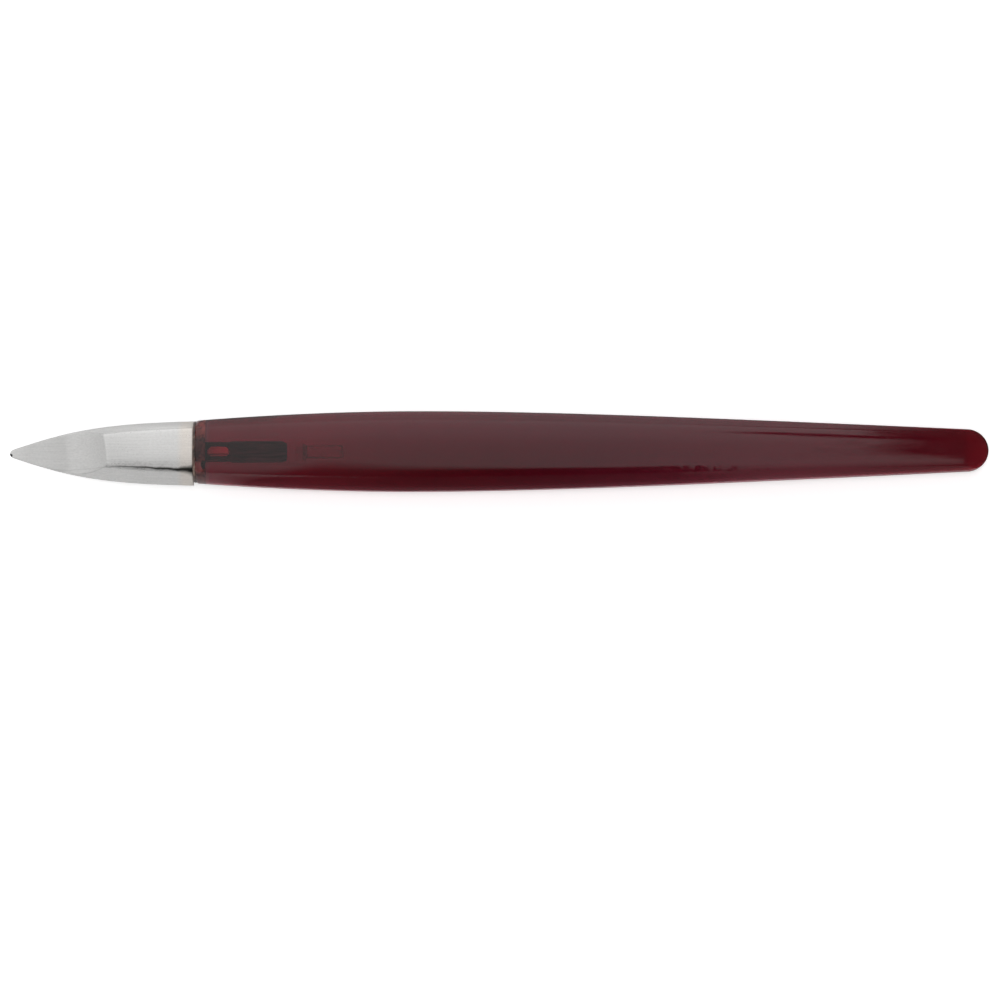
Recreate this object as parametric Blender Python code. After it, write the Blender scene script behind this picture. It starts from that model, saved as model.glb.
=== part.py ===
"""Lino cutter: a pressed-steel leaf blade whose tang pushes into a moulded grip.

Metres, +Z up.  The tool lies along X with its point at -X and its tail at +X.
The origin is under the middle of the tool, on the surface that it lies on.
"""

import math

import bmesh
import bpy

MM = 0.001

# Driving dimensions
TOTAL_LENGTH = 150.0 * MM
BLADE_REACH = 28.3 * MM        # point to the rear edge of the shank
SEAT_GAP = 0.35 * MM           # between the shank and the front face of the grip
HANDLE_LENGTH = TOTAL_LENGTH - BLADE_REACH - SEAT_GAP

# Grip, turned about the tool's axis
HANDLE_SIDES = 48
FRONT_RADIUS = 4.83 * MM
BELLY_RADIUS = 6.20 * MM
BELLY_FROM_FRONT = 33.0 * MM
FRONT_SWELL_POWER = 1.85
TAPER_SLOPE = 0.0498           # slope that the rear taper comes to
TAPER_ONSET = 1.62 * MM        # how softly the taper starts
FRONT_EDGE_RADIUS = 0.45 * MM
TAIL_CAP_LENGTH = 3.1 * MM
COUNTERBORE_RADIUS = 3.5 * MM
COUNTERBORE_DEPTH = 1.6 * MM
SOCKET_WIDTH = 2.44 * MM
SOCKET_HEIGHT = 1.4 * MM
SOCKET_DEPTH = 17.0 * MM
PILOT_RADIUS = 0.68 * MM
PILOT_DEPTH = 22.7 * MM

# Blade, pressed from sheet into an arch and ground flat in front
SHEET = 0.9 * MM
LEAF_ROOT = 0.50 * MM          # half-width that the outline's curve starts from
LEAF_SWELL = 4.71 * MM         # half-width that it gains towards the shank
LEAF_LENGTH = 13.8 * MM        # how fast it gains it
NOSE_LENGTH = 0.6 * MM         # blunt end of the point
LEAF_EDGE = 0.32 * MM          # thickness of the leaf at its sides
RISE = 3.3 * MM                # foot of the arch to its flat top
WALL_LEAN = 0.57               # how far the side walls lean in for each unit of height
CORNER_RUN = 0.8 * MM          # width of the rounded corner between wall and top
CROWN = 0.30 * MM              # how much lower the top is at its corners
NARROWEST_TOP = 1.5 * MM       # half-width below which the crown stops steepening
FACET_START = 8.5 * MM         # where the ground facet starts to climb, from the point
FACET_END = 15.0 * MM          # where it meets the top of the arch
FACET_SKEW = 0.13              # how far it leads on the +Y side, for each unit of width
HEEL_SOFTNESS = 0.07 * MM
SHANK_END_ROUND = 0.18 * MM
BLADE_DROP = 1.0 * MM          # foot of the arch below the tool's axis
FOOT_SHARE = 0.79              # underside: where the inner wall starts, as a share of the half-width
CEILING_SHARE = 0.50           # and where it ends

# Tang, a strip that carries on from the top of the arch
TANG_THICKNESS = 0.8 * MM
TANG_ROOT_WIDTH = 3.4 * MM
TANG_NECK_WIDTH = 2.0 * MM
TANG_BLOCK_WIDTH = 2.14 * MM
TANG_LENGTH = 14.1 * MM        # behind the front face of the grip
NECK_START = 1.3 * MM
BLOCK_START = 5.6 * MM
SLOT_WIDTH = 1.1 * MM
SLOT_START = 1.9 * MM
SLOT_END = 5.3 * MM
TANG_OVERLAP = 1.6 * MM        # length of strip sunk in the arch's top
TANG_SINK = 0.13 * MM          # how deep its root lies in it, to clear the crown

# Places that follow from them
POINT_X = -TOTAL_LENGTH / 2
FRONT_X = POINT_X + BLADE_REACH + SEAT_GAP
SIDE_ANGLE = 2 * math.pi / HANDLE_SIDES
FACET_SHARE = math.cos(SIDE_ANGLE / 2)     # middle of a flat side against its corners
AXIS_HEIGHT = BELLY_RADIUS


def clear_scene():
    for obj in list(bpy.data.objects):
        bpy.data.objects.remove(obj, do_unlink=True)


def make_material(name, colour, roughness, metallic=0.0):
    material = bpy.data.materials.new(name)
    material.use_nodes = True
    shader = material.node_tree.nodes["Principled BSDF"]
    shader.inputs["Base Color"].default_value = (*colour, 1.0)
    shader.inputs["Roughness"].default_value = roughness
    shader.inputs["Metallic"].default_value = metallic
    material.diffuse_color = (*colour, 1.0)
    return material


def add_object(name, mesh_data, location):
    obj = bpy.data.objects.new(name, mesh_data)
    obj.location = location
    bpy.context.scene.collection.objects.link(obj)
    return obj


def mesh_from(name, points, faces):
    """A mesh with its faces turned outwards."""
    mesh = bpy.data.meshes.new(name)
    mesh.from_pydata(points, [], faces)
    shape = bmesh.new()
    shape.from_mesh(mesh)
    bmesh.ops.recalc_face_normals(shape, faces=shape.faces)
    shape.to_mesh(mesh)
    shape.free()
    return mesh


def shade_round(mesh, sharp_angle=35.0):
    mesh.shade_smooth()
    mesh.set_sharp_from_angle(angle=math.radians(sharp_angle))


def as_cutter(obj):
    obj.hide_render = True
    obj.display_type = "WIRE"


def add_boolean(obj, name, operation, other):
    boolean = obj.modifiers.new(name, "BOOLEAN")
    boolean.operation = operation
    boolean.object = other
    as_cutter(other)


def lofted(sections):
    """Points and faces of a closed body through sections that are loops of equal length."""
    count = len(sections[0])
    points = [point for section in sections for point in section]
    faces = []
    for first in range(0, len(points) - count, count):
        for i in range(count):
            j = (i + 1) % count
            faces.append((first + i, first + j, first + count + j, first + count + i))
    faces.append(tuple(range(count)))
    faces.append(tuple(range(len(points) - count, len(points))))
    return points, faces


# --- grip ------------------------------------------------------------------

def handle_radius(depth):
    """Radius of the grip at a depth behind its front face."""
    if depth < BELLY_FROM_FRONT:
        share = (BELLY_FROM_FRONT - depth) / BELLY_FROM_FRONT
        return BELLY_RADIUS - (BELLY_RADIUS - FRONT_RADIUS) * share ** FRONT_SWELL_POWER
    run = TAPER_SLOPE * (depth - BELLY_FROM_FRONT)
    return BELLY_RADIUS - (math.hypot(run, TAPER_ONSET) - TAPER_ONSET)


def handle_profile():
    """(depth, radius) from the middle of the counterbore's floor, round the rim, to the tail."""
    profile = [(COUNTERBORE_DEPTH, 0.0), (COUNTERBORE_DEPTH, COUNTERBORE_RADIUS)]
    profile.append((0.0, COUNTERBORE_RADIUS))
    edge_steps = 4
    for i in range(edge_steps + 1):
        turn = math.pi / 2 * i / edge_steps
        depth = FRONT_EDGE_RADIUS * (1 - math.cos(turn))
        drop = FRONT_EDGE_RADIUS * (1 - math.sin(turn))
        profile.append((depth, handle_radius(depth) - drop))
    cap_start = HANDLE_LENGTH - TAIL_CAP_LENGTH
    body_steps = 24
    for i in range(1, body_steps + 1):
        depth = FRONT_EDGE_RADIUS + (cap_start - FRONT_EDGE_RADIUS) * i / body_steps
        profile.append((depth, handle_radius(depth)))
    cap_steps = 7
    for i in range(1, cap_steps):
        turn = math.pi / 2 * i / cap_steps
        depth = cap_start + TAIL_CAP_LENGTH * math.sin(turn)
        profile.append((depth, handle_radius(depth) * math.cos(turn)))
    profile.append((HANDLE_LENGTH, 0.0))
    return profile


def turned(name, profile, sides, location):
    """A body turned from (depth, radius) points, lying along +X from its location."""
    mesh = bpy.data.meshes.new(name)
    start = SIDE_ANGLE / 2
    points = [(radius * math.cos(start), radius * math.sin(start), -depth)
              for depth, radius in profile]
    mesh.from_pydata(points, [(i, i + 1) for i in range(len(points) - 1)], [])
    obj = add_object(name, mesh, location)
    obj.rotation_euler = (0.0, -math.pi / 2, 0.0)
    screw = obj.modifiers.new("turn", "SCREW")
    screw.axis = "Z"
    screw.angle = 2 * math.pi
    screw.steps = sides
    screw.render_steps = sides
    screw.use_merge_vertices = True
    screw.merge_threshold = 0.00001
    screw.use_smooth_shade = True
    return obj


def make_handle(material):
    corner = 1 / FACET_SHARE
    profile = [(depth, radius * corner) for depth, radius in handle_profile()]
    handle = turned("handle", profile, HANDLE_SIDES, (FRONT_X, 0.0, AXIS_HEIGHT))

    socket_start = COUNTERBORE_DEPTH / 2
    y, z = SOCKET_WIDTH / 2, SOCKET_HEIGHT / 2
    loops = [[(x, -y, -z), (x, y, -z), (x, y, z), (x, -y, z)]
             for x in (socket_start, SOCKET_DEPTH)]
    socket = add_object("socket_cutter", mesh_from("socket_cutter", *lofted(loops)),
                        (FRONT_X, 0.0, AXIS_HEIGHT))
    add_boolean(handle, "socket", "DIFFERENCE", socket)

    pilot_start = SOCKET_DEPTH - 2 * PILOT_RADIUS
    pilot_profile = [(pilot_start, 0.0), (pilot_start, PILOT_RADIUS),
                     (PILOT_DEPTH, PILOT_RADIUS), (PILOT_DEPTH, 0.0)]
    pilot = turned("pilot_cutter", pilot_profile, 16, (FRONT_X, 0.0, AXIS_HEIGHT))
    add_boolean(handle, "pilot_bore", "DIFFERENCE", pilot)
    handle.data.materials.append(material)
    return handle


# --- blade -----------------------------------------------------------------

def half_width(s):
    """Half-width of the blade's outline at a distance s behind its point."""
    nose = min(s / NOSE_LENGTH, 1.0)
    width = LEAF_ROOT + LEAF_SWELL * math.tanh(s / LEAF_LENGTH)
    return width * math.sqrt(1 - (1 - nose) ** 2)


def facet_height(s, y):
    """Height of the ground facet above the foot: thin at the point, climbing at the heel."""
    thin_end = 0.35
    thinning = min(s / (3 * MM), 1.0)
    leaf = LEAF_EDGE * (thin_end + (1 - thin_end) * thinning * (2 - thinning))
    climb = max(s + FACET_SKEW * y - FACET_START, 0.0) / (FACET_END - FACET_START)
    return leaf + (RISE - LEAF_EDGE) * climb ** 2


def soft_min(a, b):
    """The smaller of two heights, eased into the other where they cross."""
    softness = min(HEEL_SOFTNESS, 0.3 * b)
    return (a + b - math.hypot(a - b, softness)) / 2


def arch_corner(foot):
    """Where the arch's corner meets its wall, from the middle, and how far the corner drops."""
    drop = CORNER_RUN / WALL_LEAN / 2
    for _ in range(4):
        corner_foot = foot - WALL_LEAN * (RISE - CROWN - drop)
        crown_slope = 2 * CROWN / max(corner_foot, NARROWEST_TOP)
        drop = CORNER_RUN * (1 / WALL_LEAN - crown_slope) / 2
    return foot - WALL_LEAN * (RISE - CROWN - drop), drop


def arch_height(u, foot):
    """Height of the arch's outside at u from the middle, for a foot at half-width foot."""
    corner_foot, corner_drop = arch_corner(foot)
    if u >= corner_foot:
        return (foot - u) / WALL_LEAN
    into_corner = max(1 - (corner_foot - u) / CORNER_RUN, 0.0)
    return RISE - CROWN * (u / corner_foot) ** 2 - corner_drop * into_corner ** 2


def outer_points(s, side, inset):
    """(y, z) up over one side of the outside, from the foot to the middle."""
    foot = half_width(s) - inset
    corner_foot, corner_drop = arch_corner(foot)
    crease = foot
    for _ in range(4):
        wall_top = min(facet_height(s, side * crease), RISE - CROWN - corner_drop)
        crease = foot - min(WALL_LEAN * wall_top, 0.6 * foot)
    wall_steps, top_steps = 4, 9
    points = []
    for i in range(wall_steps):
        share = i / wall_steps
        points.append((side * (foot + (crease - foot) * share), wall_top * share))
    for i in range(top_steps + 1):
        u = crease * (1 - (i / top_steps) ** 1.35)
        height = soft_min(arch_height(u, foot), facet_height(s, side * u))
        points.append((side * u, max(height - inset, 0.0)))
    return points


def inner_points(s, side):
    """(y, z) over one side of the underside, from just inside the foot to the middle."""
    foot = half_width(s)
    wall_run = (FOOT_SHARE - CEILING_SHARE) * foot
    points = []
    for share in (FOOT_SHARE, 0.72, 0.65, 0.58, CEILING_SHARE, 0.44, 0.34, 0.17, 0.0):
        u = share * foot
        wall = (FOOT_SHARE * foot - u) / wall_run * (RISE - SHEET)
        ceiling = min(RISE, facet_height(s, side * u)) - SHEET
        points.append((side * u, max(min(ceiling, wall), 0.0)))
    return points


def blade_section(s, inset=0.0):
    """The blade's outline across the tool at s: over the outside and back underneath."""
    over = outer_points(s, -1, inset) + outer_points(s, 1, inset)[-2::-1]
    under = inner_points(s, 1) + inner_points(s, -1)[-2::-1]
    x = POINT_X + s - FRONT_X
    return [(x, y, z - BLADE_DROP) for y, z in over + under]


def blade_stations():
    """Distances behind the point: close together at the nose and up the heel."""
    nose = [NOSE_LENGTH * share for share in (0.05, 0.2, 0.5, 1.0)]
    leaf = [1.2 * MM + (FACET_START - 1.2 * MM) * i / 8 for i in range(9)]
    heel_steps = 18
    heel_run = FACET_END + 0.4 * MM - FACET_START
    heel = [FACET_START + heel_run * i / heel_steps for i in range(1, heel_steps + 1)]
    shank_run = BLADE_REACH - SHANK_END_ROUND - heel[-1]
    shank = [heel[-1] + shank_run * i / 6 for i in range(1, 7)]
    return nose + leaf + heel + shank


def make_tang():
    """A strip that steps down from the arch's top to the axis, then runs into the grip."""
    top = RISE - BLADE_DROP - TANG_SINK - TANG_THICKNESS / 2
    seat = -SEAT_GAP
    path = [(seat - TANG_OVERLAP, top, TANG_ROOT_WIDTH)]
    step_end = 1.1 * MM
    steps = 6
    for i in range(steps + 1):
        share = i / steps
        ease = share * share * (3 - 2 * share)
        x = seat + (step_end - seat) * share
        path.append((x, top * (1 - ease), TANG_ROOT_WIDTH))
    path.append((NECK_START, 0.0, TANG_ROOT_WIDTH))
    path.append((NECK_START + 0.2 * MM, 0.0, TANG_NECK_WIDTH))
    path.append((BLOCK_START - 0.2 * MM, 0.0, TANG_NECK_WIDTH))
    path.append((BLOCK_START, 0.0, TANG_BLOCK_WIDTH))
    path.append((TANG_LENGTH - 0.3 * MM, 0.0, TANG_BLOCK_WIDTH))
    path.append((TANG_LENGTH, 0.0, TANG_BLOCK_WIDTH - 0.5 * MM))
    sections = []
    for x, z, width in path:
        y, half = width / 2, TANG_THICKNESS / 2
        sections.append([(x, -y, z - half), (x, y, z - half), (x, y, z + half), (x, -y, z + half)])
    return add_object("tang_piece", mesh_from("tang_piece", *lofted(sections)),
                      (FRONT_X, 0.0, AXIS_HEIGHT))


def make_slot_cutter():
    """A round-ended bar that cuts the slot through the tang's neck."""
    radius = SLOT_WIDTH / 2
    outline = []
    for end, turn_start in ((SLOT_END - radius, -math.pi / 2), (SLOT_START + radius, math.pi / 2)):
        for i in range(9):
            turn = turn_start + math.pi * i / 8
            outline.append((end + radius * math.cos(turn), radius * math.sin(turn)))
    loops = [[(x, y, z) for x, y in outline] for z in (-TANG_THICKNESS, TANG_THICKNESS)]
    return add_object("slot_cutter", mesh_from("slot_cutter", *lofted(loops)),
                      (FRONT_X, 0.0, AXIS_HEIGHT))


def make_blade(material):
    sections = [blade_section(s) for s in blade_stations()]
    for turn in (0.35, 0.7, 1.0):
        s = BLADE_REACH - SHANK_END_ROUND * (1 - turn)
        inset = SHANK_END_ROUND * (1 - math.sqrt(1 - turn * turn)) * 0.8
        sections.append(blade_section(s, inset))
    mesh = mesh_from("blade", *lofted(sections))
    shade_round(mesh)
    blade = add_object("blade", mesh, (FRONT_X, 0.0, AXIS_HEIGHT))
    add_boolean(blade, "tang", "UNION", make_tang())
    add_boolean(blade, "neck_slot", "DIFFERENCE", make_slot_cutter())
    blade.data.materials.append(material)
    return blade


clear_scene()
make_handle(make_material("grip_plastic", (0.09, 0.02, 0.028), 0.08))
make_blade(make_material("blade_steel", (0.52, 0.51, 0.49), 0.32, 1.0))
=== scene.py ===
"""Looks of the lino cutter: a clear wine-red grip with a pressed-steel nib pushed into it.

Metres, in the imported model's frame: point at -X, tail at +X, +Z up, lying on z = 0.
"""

import math

import bmesh
import bpy
from mathutils import Matrix, Vector


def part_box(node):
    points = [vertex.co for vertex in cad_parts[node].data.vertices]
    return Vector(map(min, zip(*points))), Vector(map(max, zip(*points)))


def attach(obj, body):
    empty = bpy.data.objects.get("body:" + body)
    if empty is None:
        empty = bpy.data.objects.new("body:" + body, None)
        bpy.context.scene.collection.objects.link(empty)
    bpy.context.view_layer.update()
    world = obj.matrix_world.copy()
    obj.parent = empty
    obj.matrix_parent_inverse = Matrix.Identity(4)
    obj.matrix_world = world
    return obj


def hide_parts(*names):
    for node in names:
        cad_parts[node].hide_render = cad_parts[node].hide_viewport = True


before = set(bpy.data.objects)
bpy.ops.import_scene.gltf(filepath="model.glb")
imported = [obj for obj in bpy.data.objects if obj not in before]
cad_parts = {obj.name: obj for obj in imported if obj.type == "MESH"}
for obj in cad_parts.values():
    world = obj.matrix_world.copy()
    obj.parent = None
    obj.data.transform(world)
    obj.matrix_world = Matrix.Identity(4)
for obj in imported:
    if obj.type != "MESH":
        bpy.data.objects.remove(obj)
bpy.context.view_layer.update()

MM = 0.001

# Places that the CAD gives
HANDLE_LOW, HANDLE_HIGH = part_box("handle")
BLADE_LOW, BLADE_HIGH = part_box("blade")
FRONT_X = HANDLE_LOW.x
HANDLE_LENGTH = HANDLE_HIGH.x - HANDLE_LOW.x
AXIS_HEIGHT = (HANDLE_LOW.z + HANDLE_HIGH.z) / 2
BELLY_RADIUS = (HANDLE_HIGH.y - HANDLE_LOW.y) / 2
POINT_X = BLADE_LOW.x
TANG_LENGTH = BLADE_HIGH.x - FRONT_X
SEAT_GAP = 0.35 * MM
BLADE_REACH = FRONT_X - SEAT_GAP - POINT_X

# Grip
FRONT_RADIUS = 4.83 * MM
BELLY_FROM_FRONT = 33.0 * MM
FRONT_SWELL_POWER = 1.85
TAPER_SLOPE = 0.0498
TAPER_ONSET = 1.62 * MM
FRONT_EDGE_RADIUS = 0.45 * MM
TAIL_CAP_LENGTH = 3.1 * MM
COUNTERBORE_RADIUS = 3.5 * MM
COUNTERBORE_DEPTH = 1.6 * MM
SOCKET_WIDTH = 2.44 * MM
SOCKET_HEIGHT = 1.4 * MM
SOCKET_DEPTH = 17.0 * MM
PILOT_RADIUS = 0.68 * MM
PILOT_DEPTH = 22.7 * MM
GLUE_RADIUS = 4.7 * MM

# Blade
SHEET = 0.9 * MM
LEAF_ROOT = 0.50 * MM
LEAF_SWELL = 4.71 * MM
LEAF_LENGTH = 13.8 * MM
NOSE_LENGTH = 0.6 * MM
LEAF_EDGE = 0.32 * MM
RISE = 3.3 * MM
WALL_LEAN = 0.57
CORNER_RUN = 0.8 * MM
CROWN = 0.30 * MM
NARROWEST_TOP = 1.5 * MM
FACET_START = 8.5 * MM
FACET_END = 15.0 * MM
FACET_SKEW = 0.13
HEEL_SOFTNESS = 0.07 * MM
SHANK_END_ROUND = 0.18 * MM
BLADE_DROP = 1.0 * MM
FOOT_SHARE = 0.79
CEILING_SHARE = 0.50

# Tang
TANG_THICKNESS = 0.8 * MM
TANG_ROOT_WIDTH = 3.4 * MM
TANG_NECK_WIDTH = 2.0 * MM
TANG_BLOCK_WIDTH = 2.14 * MM
NECK_START = 1.3 * MM
BLOCK_START = 5.6 * MM
SLOT_WIDTH = 1.1 * MM
SLOT_START = 1.9 * MM
SLOT_END = 5.3 * MM
TANG_OVERLAP = 1.6 * MM
TANG_SINK = 0.13 * MM

# Tint of the grip's skin at places along the tool, in mm: partly its colour, partly painted light
# and shade (the orange front, the darker run before the tail and the brighter red at the tail's
# end)
PLASTIC_TINTS_AND_PAINTED_LIGHT = ((-46.4, (0.46, 0.22, 0.20)), (-44.6, (0.46, 0.18, 0.18)),
                 (-44.2, (0.52, 0.066, 0.105)), (-30, (0.50, 0.072, 0.125)),
                 (-15, (0.46, 0.085, 0.15)), (15, (0.38, 0.08, 0.13)), (45, (0.34, 0.06, 0.09)),
                 (62, (0.25, 0.030, 0.045)), (71, (0.24, 0.025, 0.035)), (73.4, (0.36, 0.03, 0.04)),
                 (75, (0.62, 0.035, 0.05)))

# How much the ground facet's heel curves back away from the middle, per metre
HEEL_CURVE = 24.5

# The clear plastic: refractive index, and the colour and density of its absorption
PLASTIC_IOR = 1.49
PLASTIC_COLOUR = (0.87, 0.27, 0.60, 1.0)
PLASTIC_DENSITY = 150.0

# Extra light from the floor that only the camera sees, so that it stays white
FLOOR_GLOW = 0.45
FLOOR_RADIUS = 4.0

# Overall strength of the dome, and the lamp's place, width and power
DOME_STRENGTH = 1.34
LAMP_PLACE = (0.0, -0.22, 1.18)
LAMP_WIDTH = 0.35
LAMP_POWER = 4.0

# View
CAMERA_ELEVATION = 78.0
CAMERA_ROLL = -0.12
CAMERA_LENS = 200.0
VIEW_WIDTH = 152.87 * MM
AIM = Vector((0.17 * MM, -7.60 * MM, AXIS_HEIGHT))


# --- mesh helpers ------------------------------------------------------------

def add_object(name, mesh):
    obj = bpy.data.objects.new(name, mesh)
    bpy.context.scene.collection.objects.link(obj)
    return obj


def mesh_from(name, points, faces):
    """A mesh with its faces turned outwards."""
    mesh = bpy.data.meshes.new(name)
    mesh.from_pydata(points, [], faces)
    shape = bmesh.new()
    shape.from_mesh(mesh)
    bmesh.ops.recalc_face_normals(shape, faces=shape.faces)
    shape.to_mesh(mesh)
    shape.free()
    return mesh


def lofted(sections):
    """Points and faces of a closed body through sections that are loops of equal length."""
    count = len(sections[0])
    points = [point for section in sections for point in section]
    faces = []
    for first in range(0, len(points) - count, count):
        for i in range(count):
            j = (i + 1) % count
            faces.append((first + i, first + j, first + count + j, first + count + i))
    faces.append(tuple(range(count)))
    faces.append(tuple(range(len(points) - count, len(points))))
    return points, faces


def turned(name, profile, sides):
    """A closed body turned about the axis from (depth, radius) points, with poles at its ends."""
    points = []
    rings = []
    for depth, radius in profile:
        ring = []
        for i in range(1 if radius == 0.0 else sides):
            turn = 2 * math.pi * i / sides
            ring.append(len(points))
            points.append((FRONT_X + depth, radius * math.cos(turn),
                           AXIS_HEIGHT + radius * math.sin(turn)))
        rings.append(ring)
    faces = []
    for one, two in zip(rings, rings[1:]):
        for i in range(sides):
            j = (i + 1) % sides
            if len(one) == 1:
                faces.append((one[0], two[j], two[i]))
            elif len(two) == 1:
                faces.append((one[i], one[j], two[0]))
            else:
                faces.append((one[i], one[j], two[j], two[i]))
    return mesh_from(name, points, faces)


def shade_round(mesh, sharp_angle):
    mesh.shade_smooth()
    mesh.set_sharp_from_angle(angle=math.radians(sharp_angle))


def cut(obj, name, operation, other):
    """Applies a Boolean of obj with other, then removes other."""
    boolean = obj.modifiers.new(name, "BOOLEAN")
    boolean.operation = operation
    boolean.object = other
    graph = bpy.context.evaluated_depsgraph_get()
    made = bpy.data.meshes.new_from_object(obj.evaluated_get(graph))
    obj.modifiers.clear()
    obj.data = made
    bpy.data.objects.remove(other)


def box_loops(width, height, path):
    """Rectangular sections across the axis, at (x, z, width) places behind the front face."""
    loops = []
    for x, z, own_width in path:
        y, half = (own_width or width) / 2, height / 2
        loops.append([(FRONT_X + x, sy * y, AXIS_HEIGHT + z + sz * half)
                      for sy, sz in ((-1, -1), (1, -1), (1, 1), (-1, 1))])
    return loops


# --- grip --------------------------------------------------------------------

def handle_radius(depth):
    """Radius of the grip at a depth behind its front face."""
    if depth < BELLY_FROM_FRONT:
        share = (BELLY_FROM_FRONT - depth) / BELLY_FROM_FRONT
        return BELLY_RADIUS - (BELLY_RADIUS - FRONT_RADIUS) * share ** FRONT_SWELL_POWER
    run = TAPER_SLOPE * (depth - BELLY_FROM_FRONT)
    return BELLY_RADIUS - (math.hypot(run, TAPER_ONSET) - TAPER_ONSET)


def rounded_corner(depth, radius, size, start, steps):
    """(depth, radius) points round a convex corner, from the angle start through a quarter turn."""
    made = []
    for i in range(steps + 1):
        turn = start + math.pi / 2 * i / steps
        made.append((depth + size * math.cos(turn), radius + size * math.sin(turn)))
    return made


def handle_profile():
    """(depth, radius) from the counterbore's floor, round the rim, to the tail."""
    inner_edge = 0.15 * MM
    profile = [(COUNTERBORE_DEPTH, 0.0)]
    profile += rounded_corner(COUNTERBORE_DEPTH - inner_edge, COUNTERBORE_RADIUS - inner_edge,
                              inner_edge, 0.0, 4)
    profile += rounded_corner(inner_edge, COUNTERBORE_RADIUS + inner_edge,
                              -inner_edge, math.pi / 2, 4)
    edge_steps = 10
    for i in range(edge_steps + 1):
        turn = math.pi / 2 * i / edge_steps
        depth = FRONT_EDGE_RADIUS * (1 - math.cos(turn))
        drop = FRONT_EDGE_RADIUS * (1 - math.sin(turn))
        profile.append((depth, handle_radius(depth) - drop))
    cap_start = HANDLE_LENGTH - TAIL_CAP_LENGTH
    body_steps = 110
    for i in range(1, body_steps + 1):
        depth = FRONT_EDGE_RADIUS + (cap_start - FRONT_EDGE_RADIUS) * i / body_steps
        profile.append((depth, handle_radius(depth)))
    cap_steps = 20
    for i in range(1, cap_steps):
        turn = math.pi / 2 * i / cap_steps
        depth = cap_start + TAIL_CAP_LENGTH * math.sin(turn)
        profile.append((depth, handle_radius(depth) * math.cos(turn)))
    profile.append((HANDLE_LENGTH, 0.0))
    return profile


def make_glue_ring():
    """A thin ring of glue in front of the grip, open where the tang passes; as a dark sheet it also
    stands for the shade in the gap.
    """
    edge = 0.08 * MM
    front = -SEAT_GAP + 0.03 * MM
    back = 0.05 * MM
    profile = [(front, 0.0), (front, GLUE_RADIUS - edge), (front + edge, GLUE_RADIUS),
               (back, GLUE_RADIUS), (back, 0.0)]
    ring = add_object("glue_ring", turned("glue_ring", profile, 96))
    opening = [(-2 * SEAT_GAP, 0.75 * MM, None), (2 * SEAT_GAP, 0.75 * MM, None)]
    loops = box_loops(TANG_ROOT_WIDTH + 0.2 * MM, 2.7 * MM, opening)
    cut(ring, "opening", "DIFFERENCE", add_object("opening_cutter",
                                                  mesh_from("opening_cutter", *lofted(loops))))
    return ring


def add_shell(obj, other, material_index):
    """Puts the other object's mesh into obj as a loose shell, then removes the other."""
    shape = bmesh.new()
    shape.from_mesh(obj.data)
    own_faces = len(shape.faces)
    shape.from_mesh(other.data)
    shape.faces.ensure_lookup_table()
    for face in shape.faces[own_faces:]:
        face.material_index = material_index
    shape.to_mesh(obj.data)
    shape.free()
    bpy.data.objects.remove(other)


def make_grip(material, cavity_material, glue_material):
    """The grip with its counterbore, socket and pilot bore, and the glue ring at its front."""
    grip = add_object("grip", turned("grip", handle_profile(), 128))
    socket_path = [(COUNTERBORE_DEPTH / 2, 0.0, None), (SOCKET_DEPTH, 0.0, None)]
    loops = box_loops(SOCKET_WIDTH, SOCKET_HEIGHT, socket_path)
    cut(grip, "socket", "DIFFERENCE", add_object("socket_cutter",
                                                 mesh_from("socket_cutter", *lofted(loops))))
    start = SOCKET_DEPTH - 2 * PILOT_RADIUS
    end_round = 0.4 * MM
    pilot_profile = [(start, 0.0), (start, PILOT_RADIUS)]
    pilot_profile += rounded_corner(PILOT_DEPTH - end_round, PILOT_RADIUS - end_round,
                                    end_round, 0.0, 5)[::-1]
    pilot_profile.append((PILOT_DEPTH, 0.0))
    cut(grip, "pilot_bore", "DIFFERENCE", add_object("pilot_cutter",
                                                     turned("pilot_cutter", pilot_profile, 32)))
    grip.data.materials.clear()
    for own in (material, cavity_material, glue_material):
        grip.data.materials.append(own)
    for face in grip.data.polygons:
        depth = face.center.x - FRONT_X
        from_axis = math.hypot(face.center.y, face.center.z - AXIS_HEIGHT)
        in_bores = COUNTERBORE_DEPTH + 0.02 * MM < depth < PILOT_DEPTH + 0.1 * MM
        if in_bores and from_axis < SOCKET_WIDTH:
            face.material_index = 1
    add_shell(grip, make_glue_ring(), 2)
    shade_round(grip.data, 30)
    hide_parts("handle")
    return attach(grip, "handle")


# --- blade -------------------------------------------------------------------

def half_width(s):
    """Half-width of the blade's outline at a distance s behind its point."""
    nose = min(s / NOSE_LENGTH, 1.0)
    width = LEAF_ROOT + LEAF_SWELL * math.tanh(s / LEAF_LENGTH)
    return width * math.sqrt(1 - (1 - nose) ** 2)


def facet_height(s, y):
    """Height of the ground facet above the foot: thin at the point, climbing at the heel."""
    thin_end = 0.35
    thinning = min(s / (3 * MM), 1.0)
    leaf = LEAF_EDGE * (thin_end + (1 - thin_end) * thinning * (2 - thinning))
    climb = max(s + FACET_SKEW * y - FACET_START, 0.0) / (FACET_END - FACET_START)
    return leaf + (RISE - LEAF_EDGE) * climb ** 2


def soft_min(a, b):
    """The smaller of two heights, eased into the other where they cross."""
    softness = min(HEEL_SOFTNESS, 0.3 * b)
    return (a + b - math.hypot(a - b, softness)) / 2


def arch_corner(foot):
    """Where the arch's corner meets its wall, from the middle, and how far the corner drops."""
    drop = CORNER_RUN / WALL_LEAN / 2
    for _ in range(4):
        corner_foot = foot - WALL_LEAN * (RISE - CROWN - drop)
        crown_slope = 2 * CROWN / max(corner_foot, NARROWEST_TOP)
        drop = CORNER_RUN * (1 / WALL_LEAN - crown_slope) / 2
    return foot - WALL_LEAN * (RISE - CROWN - drop), drop


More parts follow.
